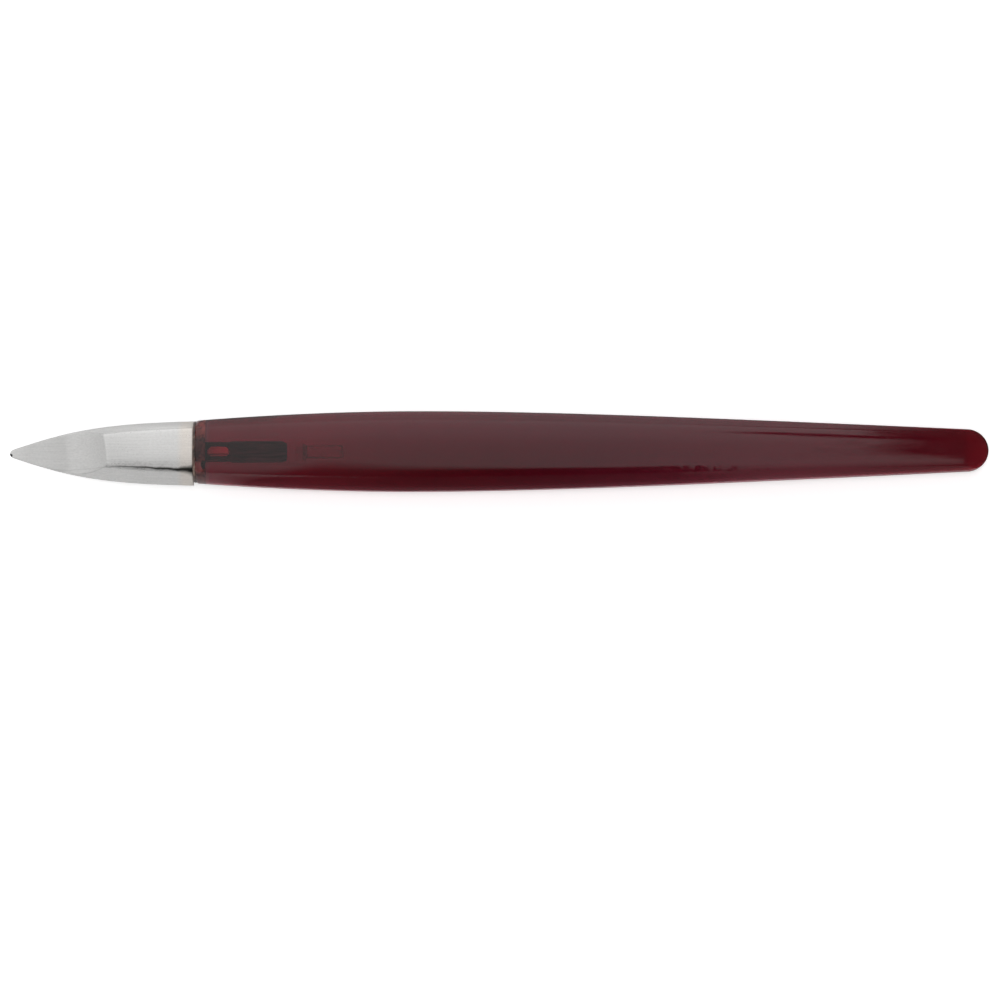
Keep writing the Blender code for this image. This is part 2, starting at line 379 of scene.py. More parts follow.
def arch_height(u, foot):
    """Height of the arch's outside at u from the middle, for a foot at half-width foot."""
    corner_foot, corner_drop = arch_corner(foot)
    if u >= corner_foot:
        return (foot - u) / WALL_LEAN
    into_corner = max(1 - (corner_foot - u) / CORNER_RUN, 0.0)
    return RISE - CROWN * (u / corner_foot) ** 2 - corner_drop * into_corner ** 2


def outer_points(s, side, inset):
    """(y, z) up over one side of the outside, from the foot to the middle."""
    foot = half_width(s) - inset
    _, corner_drop = arch_corner(foot)
    crease = foot
    for _ in range(6):
        wall_top = min(facet_height(s, side * crease), RISE - CROWN - corner_drop)
        crease = foot - min(WALL_LEAN * wall_top, 0.6 * foot)
    wall_steps, top_steps = 7, 26
    points = []
    for i in range(wall_steps):
        share = 1 - (1 - i / wall_steps) ** 1.3
        points.append((side * (foot + (crease - foot) * share), wall_top * share))
    for i in range(top_steps + 1):
        u = crease * (1 - (i / top_steps) ** 1.5)
        height = soft_min(arch_height(u, foot), facet_height(s, side * u))
        points.append((side * u, max(height - inset, 0.0)))
    return points


def inner_points(s, side):
    """(y, z) over one side of the underside, from just inside the foot to the middle."""
    foot = half_width(s)
    wall_run = (FOOT_SHARE - CEILING_SHARE) * foot
    steps = 18
    points = []
    for i in range(steps + 1):
        share = FOOT_SHARE * (1 - i / steps)
        u = share * foot
        wall = (FOOT_SHARE * foot - u) / wall_run * (RISE - SHEET)
        ceiling = min(RISE, facet_height(s, side * u)) - SHEET
        softness = 0.25 * MM
        height = (ceiling + wall - math.hypot(ceiling - wall, softness)) / 2
        points.append((side * u, max(height, 0.0)))
    return points


def blade_section(s, inset=0.0):
    """The blade's outline across the tool at s: over the outside and back underneath."""
    over = outer_points(s, -1, inset) + outer_points(s, 1, inset)[-2::-1]
    under = inner_points(s, 1) + inner_points(s, -1)[-2::-1]
    base = AXIS_HEIGHT - BLADE_DROP
    return [(POINT_X + s, y, base + z) for y, z in over + under]


def blade_stations():
    """Distances behind the point: close together at the nose and up the heel."""
    nose_steps, leaf_steps, heel_steps, shank_steps = 8, 40, 70, 30
    nose = [NOSE_LENGTH * (0.02 + 0.98 * (i / nose_steps) ** 2) for i in range(nose_steps + 1)]
    leaf = [nose[-1] + (FACET_START - nose[-1]) * i / leaf_steps for i in range(1, leaf_steps + 1)]
    heel_run = FACET_END + 0.5 * MM - FACET_START
    heel = [FACET_START + heel_run * i / heel_steps for i in range(1, heel_steps + 1)]
    shank_run = BLADE_REACH - SHANK_END_ROUND - heel[-1]
    shank = [heel[-1] + shank_run * i / shank_steps for i in range(1, shank_steps + 1)]
    return nose + leaf + heel + shank


def make_tang():
    """A strip that steps down from the arch's top to the axis, then runs into the grip."""
    top = RISE - BLADE_DROP - TANG_SINK - TANG_THICKNESS / 2
    step_end = 1.1 * MM
    steps = 14
    path = [(-SEAT_GAP - TANG_OVERLAP, top, TANG_ROOT_WIDTH)]
    for i in range(steps + 1):
        share = i / steps
        ease = share * share * (3 - 2 * share)
        x = -SEAT_GAP + (step_end + SEAT_GAP) * share
        path.append((x, top * (1 - ease), TANG_ROOT_WIDTH))
    path.append((NECK_START, 0.0, TANG_ROOT_WIDTH))
    path.append((NECK_START + 0.2 * MM, 0.0, TANG_NECK_WIDTH))
    path.append((BLOCK_START - 0.2 * MM, 0.0, TANG_NECK_WIDTH))
    path.append((BLOCK_START, 0.0, TANG_BLOCK_WIDTH))
    for before_end, narrowing in ((0.8, 0.0), (0.45, 0.12), (0.2, 0.35), (0.06, 0.65), (0.0, 0.95)):
        path.append((TANG_LENGTH - before_end * MM, 0.0, TANG_BLOCK_WIDTH - narrowing * MM))
    loops = box_loops(None, TANG_THICKNESS, path)
    return add_object("tang_piece", mesh_from("tang_piece", *lofted(loops)))


def make_slot_cutter():
    """A round-ended bar that cuts the slot through the tang's neck."""
    radius = SLOT_WIDTH / 2
    outline = []
    for end, turn_start in ((SLOT_END - radius, -math.pi / 2), (SLOT_START + radius, math.pi / 2)):
        for i in range(17):
            turn = turn_start + math.pi * i / 16
            outline.append((FRONT_X + end + radius * math.cos(turn), radius * math.sin(turn)))
    loops = [[(x, y, AXIS_HEIGHT + z) for x, y in outline]
             for z in (-TANG_THICKNESS, TANG_THICKNESS)]
    return add_object("slot_cutter", mesh_from("slot_cutter", *lofted(loops)))


def make_slot_glue():
    """Glue that fills the slot through the tang's neck, a little thinner than the strip."""
    inset = 0.04 * MM
    path = [(SLOT_START + 0.2 * MM, 0.0, 0.5 * SLOT_WIDTH),
            (SLOT_START + 0.5 * SLOT_WIDTH, 0.0, SLOT_WIDTH - 2 * inset),
            (SLOT_END - 0.5 * SLOT_WIDTH, 0.0, SLOT_WIDTH - 2 * inset),
            (SLOT_END - 0.2 * MM, 0.0, 0.5 * SLOT_WIDTH)]
    loops = box_loops(None, TANG_THICKNESS - 4 * inset, path)
    return add_object("slot_glue", mesh_from("slot_glue", *lofted(loops)))


def make_nib(material, glue_material):
    """The blade and its slotted tang, with the glue in the slot."""
    sections = [blade_section(s) for s in blade_stations()]
    for turn in (0.2, 0.45, 0.7, 0.88, 1.0):
        s = BLADE_REACH - SHANK_END_ROUND * (1 - turn)
        inset = SHANK_END_ROUND * (1 - math.sqrt(1 - turn * turn)) * 0.8
        sections.append(blade_section(s, inset))
    nib = add_object("nib", mesh_from("nib", *lofted(sections)))
    cut(nib, "tang", "UNION", make_tang())
    cut(nib, "neck_slot", "DIFFERENCE", make_slot_cutter())
    nib.data.materials.clear()
    for own in (material, glue_material):
        nib.data.materials.append(own)
    add_shell(nib, make_slot_glue(), 1)
    shade_round(nib.data, 32)
    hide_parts("blade")
    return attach(nib, "blade")


# --- materials ---------------------------------------------------------------

class Nodes:
    """Short calls for building one node tree."""

    def __init__(self, material):
        material.use_nodes = True
        self.tree = material.node_tree
        self.tree.nodes.clear()

    def add(self, kind, **settings):
        node = self.tree.nodes.new(kind)
        for name, value in settings.items():
            setattr(node, name, value)
        return node

    def link(self, source, target):
        self.tree.links.new(source, target)

    def place(self, scale):
        """The object's own coordinates, times a scale for each axis."""
        coordinates = self.add("ShaderNodeTexCoord")
        mapping = self.add("ShaderNodeMapping")
        mapping.inputs["Scale"].default_value = scale
        self.link(coordinates.outputs["Object"], mapping.inputs["Vector"])
        return mapping.outputs["Vector"]

    def noise(self, scale, detail=4.0, roughness=0.5, distortion=0.0):
        node = self.add("ShaderNodeTexNoise")
        node.inputs["Scale"].default_value = 1.0
        node.inputs["Detail"].default_value = detail
        node.inputs["Roughness"].default_value = roughness
        node.inputs["Distortion"].default_value = distortion
        self.link(self.place(scale), node.inputs["Vector"])
        return node.outputs["Fac"]

    def spread(self, source, low, high, to_low, to_high):
        node = self.add("ShaderNodeMapRange")
        for name, value in (("From Min", low), ("From Max", high),
                            ("To Min", to_low), ("To Max", to_high)):
            node.inputs[name].default_value = value
        self.link(source, node.inputs["Value"])
        return node.outputs["Result"]

    def math(self, operation, one, two):
        node = self.add("ShaderNodeMath", operation=operation)
        for socket, value in zip(node.inputs, (one, two)):
            if isinstance(value, float):
                socket.default_value = value
            else:
                self.link(value, socket)
        return node.outputs["Value"]

    def mix_colour(self, share, one, two, blend="MIX"):
        node = self.add("ShaderNodeMix", data_type="RGBA", blend_type=blend)
        if isinstance(share, float):
            node.inputs["Factor"].default_value = share
        else:
            self.link(share, node.inputs["Factor"])
        for name, value in (("A", one), ("B", two)):
            socket = [s for s in node.inputs if s.name == name and s.type == "RGBA"][0]
            if isinstance(value, tuple):
                socket.default_value = (*value, 1.0)
            else:
                self.link(value, socket)
        return [s for s in node.outputs if s.type == "RGBA"][0]

    def own_axes(self):
        """The place along and across the tool and the distance from its axis, in metres."""
        coordinates = self.add("ShaderNodeTexCoord")
        split = self.add("ShaderNodeSeparateXYZ")
        self.link(coordinates.outputs["Object"], split.inputs["Vector"])
        height = self.math("SUBTRACT", split.outputs["Z"], AXIS_HEIGHT)
        square = self.math("ADD", self.math("MULTIPLY", height, height),
                           self.math("MULTIPLY", split.outputs["Y"], split.outputs["Y"]))
        return split.outputs["X"], split.outputs["Y"], self.math("SQRT", square, 0.0)

    def levels(self, source, stops):
        """A level, or a colour, that depends on a length, from (millimetres, level) stops."""
        low, high = stops[0][0], stops[-1][0]
        share = self.spread(source, low * MM, high * MM, 0.0, 1.0)
        return self.ramp(share, [((place - low) / (high - low),
                                  level if isinstance(level, tuple) else (level,) * 3)
                                 for place, level in stops])

    def blob(self, x, y, centre, radii):
        """A soft-edged spot in the plane of the tool, at centre and with radii in millimetres."""
        parts = []
        for source, middle, radius in zip((x, y), centre, radii):
            offset = self.math("DIVIDE", self.math("SUBTRACT", source, middle * MM), radius * MM)
            parts.append(self.math("MULTIPLY", offset, offset))
        return self.spread(self.math("ADD", *parts), 0.5, 1.3, 1.0, 0.0)

    def ramp(self, source, stops):
        node = self.add("ShaderNodeValToRGB")
        while len(node.color_ramp.elements) < len(stops):
            node.color_ramp.elements.new(0.5)
        for element, (position, colour) in zip(node.color_ramp.elements, stops):
            element.position = position
            element.color = (*colour, 1.0)
        self.link(source, node.inputs["Fac"])
        return node.outputs["Color"]

    def curve(self, share, stops):
        """A level that depends on an angle given as a share of -180 to 180 degrees."""
        return self.ramp(share, [((angle + 180) / 360, (level,) * 3) for angle, level in stops])

    def bump(self, height, strength, distance, before=None):
        node = self.add("ShaderNodeBump")
        node.inputs["Strength"].default_value = strength
        node.inputs["Distance"].default_value = distance
        self.link(height, node.inputs["Height"])
        if before is not None:
            self.link(before, node.inputs["Normal"])
        return node.outputs["Normal"]


def make_plastic():
    """Clear wine-red plastic, tinted by place with its colour and with painted light and shade,
    with flow streaks, rubbing and ripples.

    The counterbore's wall and floor are opaque: amber glue, painted lightest towards the back and
    darkest over the middle as light and shade, with a pale spot painted as a highlight and a black
    spot.
    """
    material = bpy.data.materials.new("clear_wine_plastic")
    nodes = Nodes(material)
    output = nodes.add("ShaderNodeOutputMaterial")
    shader = nodes.add("ShaderNodeBsdfPrincipled")
    x, y, radius = nodes.own_axes()
    flow = nodes.ramp(nodes.noise((45, 1300, 1300), detail=4.0, roughness=0.6),
                      [(0.35, (1.0, 0.88, 0.90)), (0.65, (0.92, 1.0, 0.97))])
    # The skin's tint along the tool carries painted light and shade as well as its colour
    skin_and_painted_light = nodes.mix_colour(1.0, nodes.levels(x, PLASTIC_TINTS_AND_PAINTED_LIGHT), flow, blend="MULTIPLY")
    cavity = nodes.math("MULTIPLY", nodes.math("LESS_THAN", radius, COUNTERBORE_RADIUS + 0.2 * MM),
                        nodes.math("LESS_THAN", x, FRONT_X + PILOT_DEPTH + 0.5 * MM))
    glue = nodes.math("MULTIPLY", cavity, nodes.math("LESS_THAN", x, FRONT_X + COUNTERBORE_DEPTH
                                                     + 0.05 * MM))
    # Across the counterbore the glue is painted lightest towards the back (+Y) and darkest over the
    # middle, where the tang's root is: painted light and shade
    amber_and_painted_light = nodes.levels(y, [(-3.6, (0.42, 0.16, 0.11)), (-2.6, (0.46, 0.18, 0.13)),
                             (-1.6, (0.30, 0.15, 0.13)), (-0.8, (0.26, 0.16, 0.15)),
                             (1.0, (0.34, 0.19, 0.16)), (1.6, (0.72, 0.33, 0.24)),
                             (3.2, (1.0, 0.50, 0.37))])
    blotches = nodes.ramp(nodes.noise((900, 700, 900), detail=3.0, roughness=0.6),
                          [(0.36, (0.25, 0.20, 0.20)), (0.5, (0.85, 0.85, 0.85)),
                           (0.62, (1.0, 1.0, 1.0))])
    amber_and_painted_light = nodes.mix_colour(1.0, amber_and_painted_light, blotches, blend="MULTIPLY")
    behind_front = nodes.math("SUBTRACT", x, FRONT_X)
    # A pale spot painted as a highlight, then a black spot
    amber_and_painted_light = nodes.mix_colour(nodes.blob(behind_front, y, (0.60, -2.60), (0.60, 0.65)),
                             amber_and_painted_light, (1.0, 0.62, 0.55))
    amber_and_painted_light = nodes.mix_colour(nodes.blob(behind_front, y, (1.35, -2.30), (0.45, 0.55)),
                             amber_and_painted_light, (0.01, 0.004, 0.004))
    colour = nodes.mix_colour(cavity, skin_and_painted_light, (1.0, 1.0, 1.0))
    colour = nodes.mix_colour(glue, colour, amber_and_painted_light)
    nodes.link(colour, shader.inputs["Base Color"])
    nodes.link(nodes.math("SUBTRACT", 1.0, glue), shader.inputs["Transmission Weight"])
    shader.inputs["IOR"].default_value = PLASTIC_IOR
    waves = nodes.noise((90, 420, 420), detail=3.0)
    rubbing = nodes.noise((260, 1500, 1500), detail=6.0, roughness=0.65)
    smooth = nodes.spread(rubbing, 0.35, 0.75, 0.02, 0.10)
    nodes.link(nodes.math("MAXIMUM", smooth, nodes.math("MULTIPLY", cavity, 0.45)),
               shader.inputs["Roughness"])
    normal = nodes.bump(waves, 0.25, 0.00004)
    normal = nodes.bump(rubbing, 0.12, 0.000004, before=normal)
    ripples = nodes.math("MULTIPLY", nodes.noise((420, 300, 300), detail=2.0),
                         nodes.blob(x, y, (40, -2.8), (14, 1.5)))
    normal = nodes.bump(ripples, 0.3, 0.00010, before=normal)
    nodes.link(normal, shader.inputs["Normal"])
    absorption = nodes.add("ShaderNodeVolumeAbsorption")
    absorption.inputs["Color"].default_value = PLASTIC_COLOUR
    absorption.inputs["Density"].default_value = PLASTIC_DENSITY
    nodes.link(shader.outputs["BSDF"], output.inputs["Surface"])
    nodes.link(absorption.outputs["Volume"], output.inputs["Volume"])
    return material


def make_cavity_wall():
    """The walls of the socket and the pilot bore: clear, with painted shade darkening them near
    their ends and edge-on.
    """
    material = bpy.data.materials.new("cavity_wall")
    nodes = Nodes(material)
    output = nodes.add("ShaderNodeOutputMaterial")
    shader = nodes.add("ShaderNodeBsdfPrincipled")
    shader.inputs["Transmission Weight"].default_value = 1.0
    shader.inputs["IOR"].default_value = 1.02
    shader.inputs["Roughness"].default_value = 0.0
    shader.inputs["Specular IOR Level"].default_value = 0.0
    # Painted shade: darker where the walls are seen edge-on and near the ends of the bores
    weight = nodes.add("ShaderNodeLayerWeight")
    weight.inputs["Blend"].default_value = 0.5
    edge = nodes.ramp(weight.outputs["Facing"],
                      [(0.0, (1.0, 1.0, 1.0)), (0.25, (1.0, 0.97, 0.97)),
                       (0.45, (0.70, 0.62, 0.62)), (0.8, (0.40, 0.35, 0.35))])
    x, y, _ = nodes.own_axes()
    depth = nodes.math("SUBTRACT", x, FRONT_X)
    end_shade = nodes.levels(depth, [(15.2, (1.0, 1.0, 1.0)), (15.4, (0.92, 0.90, 0.90)),
                                    (16.4, (0.92, 0.90, 0.90)), (16.5, (0.50, 0.46, 0.46)),
                                    (17.1, (0.50, 0.46, 0.46)), (17.3, (1.0, 0.90, 0.93)),
                                    (22.2, (1.0, 0.90, 0.93)), (22.4, (0.75, 0.68, 0.68))])
    tint = nodes.mix_colour(1.0, end_shade, edge, blend="MULTIPLY")
    middle = nodes.math("LESS_THAN", nodes.math("ABSOLUTE", y, 0.0), PILOT_RADIUS + 0.05 * MM)
    middle = nodes.math("MULTIPLY", middle, nodes.spread(depth, 15.2 * MM, 15.4 * MM, 0.0, 1.0))
    nodes.link(nodes.mix_colour(middle, (1.0, 1.0, 1.0), tint), shader.inputs["Base Color"])
    nodes.link(shader.outputs["BSDF"], output.inputs["Surface"])
    return material


def make_steel():
    """Sheet steel: a matte ground leaf, a streaked shank with painted light and a crease darkened
    by painted shade, a dark tang.
    """
    material = bpy.data.materials.new("tumbled_steel")
    nodes = Nodes(material)
    output = nodes.add("ShaderNodeOutputMaterial")
    shader = nodes.add("ShaderNodeBsdfPrincipled")
    shader.inputs["Metallic"].default_value = 1.0
    x, y, _ = nodes.own_axes()
    behind_point = nodes.math("SUBTRACT", x, POINT_X)
    streaks = nodes.noise((130, 5200, 5200), detail=5.0, roughness=0.6)
    grain = nodes.noise((2600, 3200, 3200), detail=4.0, roughness=0.6)
    blend = nodes.math("ADD", nodes.math("MULTIPLY", streaks, 0.5),
                       nodes.math("MULTIPLY", grain, 0.5))
    colour = nodes.ramp(blend, [(0.32, (0.75, 0.745, 0.735)), (0.5, (0.85, 0.845, 0.835)),
                                (0.68, (0.95, 0.945, 0.93))])
    # The ground leaf is darker towards its heel
    heel = nodes.math("ADD", behind_point, nodes.math("MULTIPLY", y, FACET_SKEW))
    heel = nodes.math("ADD", heel, nodes.math("MULTIPLY", nodes.math("MULTIPLY", y, y), HEEL_CURVE))
    ground = nodes.spread(heel, FACET_END - 0.15 * MM, FACET_END + 0.10 * MM, 1.0, 0.0)
    facing = nodes.add("ShaderNodeSeparateXYZ")
    nodes.link(nodes.add("ShaderNodeTexCoord").outputs["Normal"], facing.inputs["Vector"])
    ground = nodes.math("MULTIPLY", ground, nodes.spread(facing.outputs["Z"], 0.56, 0.68, 0.0, 1.0))
    leaf = nodes.levels(behind_point, [(0.0, 0.80), (4.85, 0.83), (9.4, 0.76), (13.2, 0.665),
                                       (15.0, 0.65)])
    # The shank is painted lighter over its top and far side, with a painted highlight in a band
    # near its far edge, more so towards the grip; it yellows at its end
    across = nodes.levels(y, [(-5.0, 0.80), (-3.2, 0.79), (-1.8, 0.81), (-1.2, 0.88), (-0.6, 0.92),
                              (0.7, 0.94), (2.4, 0.955), (2.9, 0.94), (3.3, 1.0), (3.6, 1.0),
                              (4.3, 0.83), (5.0, 0.80)])
    towards_grip = nodes.levels(x, [(-60.0, 0.3), (-53.0, 1.0)])
    shank = nodes.mix_colour(towards_grip, (0.81, 0.81, 0.81), across)
    yellowed = nodes.levels(x, [(-49.3, (0.955, 0.955, 0.955)), (-48.3, (1.0, 0.945, 0.895)),
                                (-46.6, (1.0, 0.945, 0.895))])
    shank = nodes.mix_colour(1.0, shank, yellowed, blend="MULTIPLY")
    colour = nodes.mix_colour(1.0, colour, nodes.mix_colour(ground, shank, leaf), blend="MULTIPLY")
    # Painted shade along the front crease, wider and blacker towards the grip
    wobble = nodes.spread(nodes.noise((500, 500, 500), detail=3.0), 0.3, 0.7, -0.12 * MM, 0.12 * MM)
    straight = nodes.spread(x, -57.9 * MM, -46.9 * MM, -2.68 * MM, -3.24 * MM)
    crease = nodes.math("ADD", straight, wobble)
    above = nodes.math("SUBTRACT", y, crease)
    width = nodes.math("ADD", nodes.spread(x, -58.0 * MM, -49.0 * MM, 0.10 * MM, 0.20 * MM),
                       nodes.spread(x, -49.2 * MM, -46.6 * MM, 0.0, 0.40 * MM))
    crease_shade = nodes.spread(nodes.math("DIVIDE", nodes.math("ABSOLUTE", above, 0.0), width),
                           0.3, 1.5, 1.0, 0.0)
    crease_shade = nodes.math("MULTIPLY", crease_shade, nodes.levels(x, [(-60.2, 0.10), (-57.5, 0.55),
                                                               (-53.0, 0.95), (-46.0, 1.0)]))
    # A painted shadow fading out above the crease
    shadow_above_crease = nodes.math("MULTIPLY", nodes.spread(above, 0.0, 1.3 * MM, 1.0, 0.0),
                      nodes.spread(above, -0.2 * MM, 0.0, 0.0, 1.0))
    shadow_above_crease = nodes.math("MULTIPLY", shadow_above_crease, nodes.spread(blend, 0.35, 0.6, 0.75, 0.25))
    shadow_above_crease = nodes.math("MULTIPLY", shadow_above_crease, nodes.levels(x, [(-60.5, 0.0), (-57.0, 0.95),
                                                         (-50.0, 0.8), (-46.0, 1.0)]))
    colour = nodes.mix_colour(shadow_above_crease, colour, (0.16, 0.155, 0.15))
    colour = nodes.mix_colour(crease_shade, colour, (0.018, 0.018, 0.016))
    # A dark spot painted at the blunt point as shade
    tip_shade = nodes.blob(x, y, (POINT_X / MM + 0.15, -0.30), (0.30, 0.30))
    colour = nodes.mix_colour(tip_shade, colour, (0.03, 0.03, 0.03))
    scale = nodes.ramp(nodes.noise((260, 3800, 3800), detail=5.0, roughness=0.65),
                       [(0.32, (0.020, 0.028, 0.024)), (0.68, (0.105, 0.095, 0.085))])
    tang = nodes.spread(x, FRONT_X - 0.34 * MM, FRONT_X - 0.20 * MM, 0.0, 1.0)
    nodes.link(nodes.mix_colour(tang, colour, scale), shader.inputs["Base Color"])
    roughness = nodes.math("ADD", nodes.spread(blend, 0.3, 0.7, 0.24, 0.40),
                           nodes.math("MULTIPLY", ground, 0.08))
    nodes.link(nodes.math("MAXIMUM", roughness, nodes.math("MULTIPLY", tang, 0.55)),
               shader.inputs["Roughness"])
    normal = nodes.bump(streaks, 0.25, 0.00002)
    normal = nodes.bump(grain, 0.30, 0.00002, before=normal)
    nodes.link(normal, shader.inputs["Normal"])
    nodes.link(shader.outputs["BSDF"], output.inputs["Surface"])
    return material


def make_pink_glue():
    """The glue in the tang's slot: its pale pink is partly a painted reflection, with a painted
    highlight towards the back and a dark line of painted shade along it.
    """
    material = bpy.data.materials.new("pink_glue")
    nodes = Nodes(material)
    output = nodes.add("ShaderNodeOutputMaterial")
    shader = nodes.add("ShaderNodeBsdfPrincipled")
    _, y, _ = nodes.own_axes()
    # Across the slot: a painted highlight towards the back and a dark line of painted shade nearer
    # the front
    colour = nodes.levels(y, [(-0.55, (0.75, 0.38, 0.40)), (-0.38, (0.70, 0.35, 0.38)),
                              (-0.30, (0.15, 0.06, 0.06)), (-0.22, (0.80, 0.34, 0.34)),
                              (-0.12, (1.0, 0.50, 0.50)), (0.55, (1.0, 0.46, 0.42))])
    mottle = nodes.ramp(nodes.noise((500, 2500, 2500), detail=3.0),
                        [(0.3, (0.88, 0.85, 0.85)), (0.6, (1.0, 1.0, 1.0))])
    nodes.link(nodes.mix_colour(1.0, colour, mottle, blend="MULTIPLY"), shader.inputs["Base Color"])
    shader.inputs["Roughness"].default_value = 0.5
    nodes.link(shader.outputs["BSDF"], output.inputs["Surface"])
    return material


def make_glue_and_gap_shade():
    """The brown glue pressed out between the shank and the front of the grip, darkened as painted
    shade of the narrow gap there.
    """
    material = bpy.data.materials.new("glue_and_gap_shade")
    nodes = Nodes(material)
    output = nodes.add("ShaderNodeOutputMaterial")
    shader = nodes.add("ShaderNodeBsdfPrincipled")
    # Dark brown, as painted shade of the gap
    colour = nodes.ramp(nodes.noise((1500, 900, 900), detail=4.0, roughness=0.6),
                        [(0.35, (0.020, 0.014, 0.012)), (0.52, (0.11, 0.070, 0.055)),
                         (0.68, (0.26, 0.18, 0.14))])
    nodes.link(colour, shader.inputs["Base Color"])
    shader.inputs["Roughness"].default_value = 0.35
    nodes.link(nodes.bump(nodes.noise((1800, 1800, 1800)), 0.5, 0.0001), shader.inputs["Normal"])
    nodes.link(shader.outputs["BSDF"], output.inputs["Surface"])
    return material


# --- studio ------------------------------------------------------------------

def make_floor():
    mesh = bpy.data.meshes.new("floor")
    shape = bmesh.new()
    bmesh.ops.create_circle(shape, cap_ends=True, segments=96, radius=FLOOR_RADIUS)
    shape.to_mesh(mesh)
    shape.free()
    floor = add_object("floor", mesh)
    floor.location.z = -0.05 * MM
    material = bpy.data.materials.new("pale_floor")
    nodes = Nodes(material)
    output = nodes.add("ShaderNodeOutputMaterial")
    shader = nodes.add("ShaderNodeBsdfDiffuse")
    shader.inputs["Color"].default_value = (0.93, 0.93, 0.93, 1.0)
    glow = nodes.add("ShaderNodeEmission")
    glow.inputs["Strength"].default_value = FLOOR_GLOW
    path = nodes.add("ShaderNodeLightPath")
    nothing = nodes.add("ShaderNodeEmission")
    nothing.inputs["Strength"].default_value = 0.0
    seen = nodes.add("ShaderNodeMixShader")
    nodes.link(path.outputs["Is Camera Ray"], seen.inputs[0])
    nodes.link(nothing.outputs["Emission"], seen.inputs[1])
    nodes.link(glow.outputs["Emission"], seen.inputs[2])
    both = nodes.add("ShaderNodeAddShader")
    nodes.link(shader.outputs["BSDF"], both.inputs[0])
    nodes.link(seen.outputs["Shader"], both.inputs[1])
    nodes.link(both.outputs["Shader"], output.inputs["Surface"])
    floor.data.materials.append(material)


def make_world():
    """A soft white dome that the camera sees as plain white.

    It ends past the tail, and has a dark patch low in front and a thin dark gap behind.
    """
    world = bpy.data.worlds.new("studio")
    bpy.context.scene.world = world
    nodes = Nodes(world)
    output = nodes.add("ShaderNodeOutputWorld")
    coordinates = nodes.add("ShaderNodeTexCoord")
    split = nodes.add("ShaderNodeSeparateXYZ")
    nodes.link(coordinates.outputs["Generated"], split.inputs["Vector"])
    x, y, z = (split.outputs[axis] for axis in "XYZ")
    # Angle from straight up towards the front (-Y), as a share of -180 to 180 degrees
    lean = nodes.math("ARCTAN2", nodes.math("MULTIPLY", y, -1.0), z)
    share = nodes.spread(lean, -math.pi, math.pi, 0.0, 1.0)
    dome = nodes.curve(share, [(-180, 0.95), (-66, 1.0), (-39, 1.0), (-15, 0.84), (8, 0.80),
                               (62, 0.78), (74, 0.60), (90, 0.30), (180, 0.30)])
    # The dome ends past the tail, further out low in front than high up behind
    tail_end = nodes.curve(share, [(-90, 0.124), (-75, 0.132), (-60, 0.141), (-46, 0.151),
                                   (-25, 0.1565), (30, 0.160), (37, 0.167), (75, 0.166),
                                   (100, 0.150)])
    before_end = nodes.spread(nodes.math("SUBTRACT", x, tail_end), -0.0025, 0.0025, 1.0, 0.05)
    # A thin dark gap between two panels slants up behind
    gap = nodes.math("SUBTRACT", nodes.math("MULTIPLY", lean, 180 / math.pi),
                     nodes.spread(x, 0.1188, 0.15, -59.5, -48.0))
    gap = nodes.math("DIVIDE", nodes.math("ABSOLUTE", gap, 0.0),
                     nodes.spread(x, 0.11, 0.15, 6.0, 11.0))
    gap = nodes.spread(gap, 0.3, 1.0, 0.0, 1.0)
    gap = nodes.math("MAXIMUM", gap, nodes.spread(x, 0.104, 0.118, 1.0, 0.0))
    # A dark patch low in front: its top edge, as an angle, and how softly it begins
    edge = nodes.ramp(nodes.spread(x, -0.15, 0.11, 0.0, 1.0),
                      [((place + 0.15) / 0.26, (angle / 180,) * 3) for place, angle in
                       ((-0.15, 95), (-0.10, 50), (-0.03, 59), (0.08, 64), (0.11, 65))])
    softness = nodes.spread(x, -0.10, 0.06, 16.0 / 180, 3.5 / 180)
    depth = nodes.math("SUBTRACT", nodes.math("DIVIDE", lean, math.pi), edge)
    depth = nodes.spread(nodes.math("DIVIDE", depth, softness), -1.0, 1.0, 0.0, 1.0)
    across = nodes.math("MULTIPLY", nodes.spread(x, -0.16, -0.11, 0.0, 1.0),
                        nodes.spread(x, 0.100, 0.105, 1.0, 0.0))
    darkness = nodes.spread(x, -0.06, 0.05, 0.80, 0.94)
    patch = nodes.math("MULTIPLY", nodes.math("MULTIPLY", depth, across), darkness)
    patch = nodes.math("SUBTRACT", 1.0, patch)
    strength = nodes.math("MULTIPLY", nodes.math("MULTIPLY", dome, before_end), patch)
    strength = nodes.math("MULTIPLY", strength, gap)
    strength = nodes.math("MULTIPLY", strength, DOME_STRENGTH)
    lit = nodes.add("ShaderNodeBackground")
    nodes.link(strength, lit.inputs["Strength"])
    seen = nodes.add("ShaderNodeBackground")
    seen.inputs["Color"].default_value = (1.0, 1.0, 1.0, 1.0)
    path = nodes.add("ShaderNodeLightPath")
    mix = nodes.add("ShaderNodeMixShader")
    nodes.link(path.outputs["Is Camera Ray"], mix.inputs[0])
    nodes.link(lit.outputs["Background"], mix.inputs[1])
    nodes.link(seen.outputs["Background"], mix.inputs[2])
    nodes.link(mix.outputs["Shader"], output.inputs["Surface"])


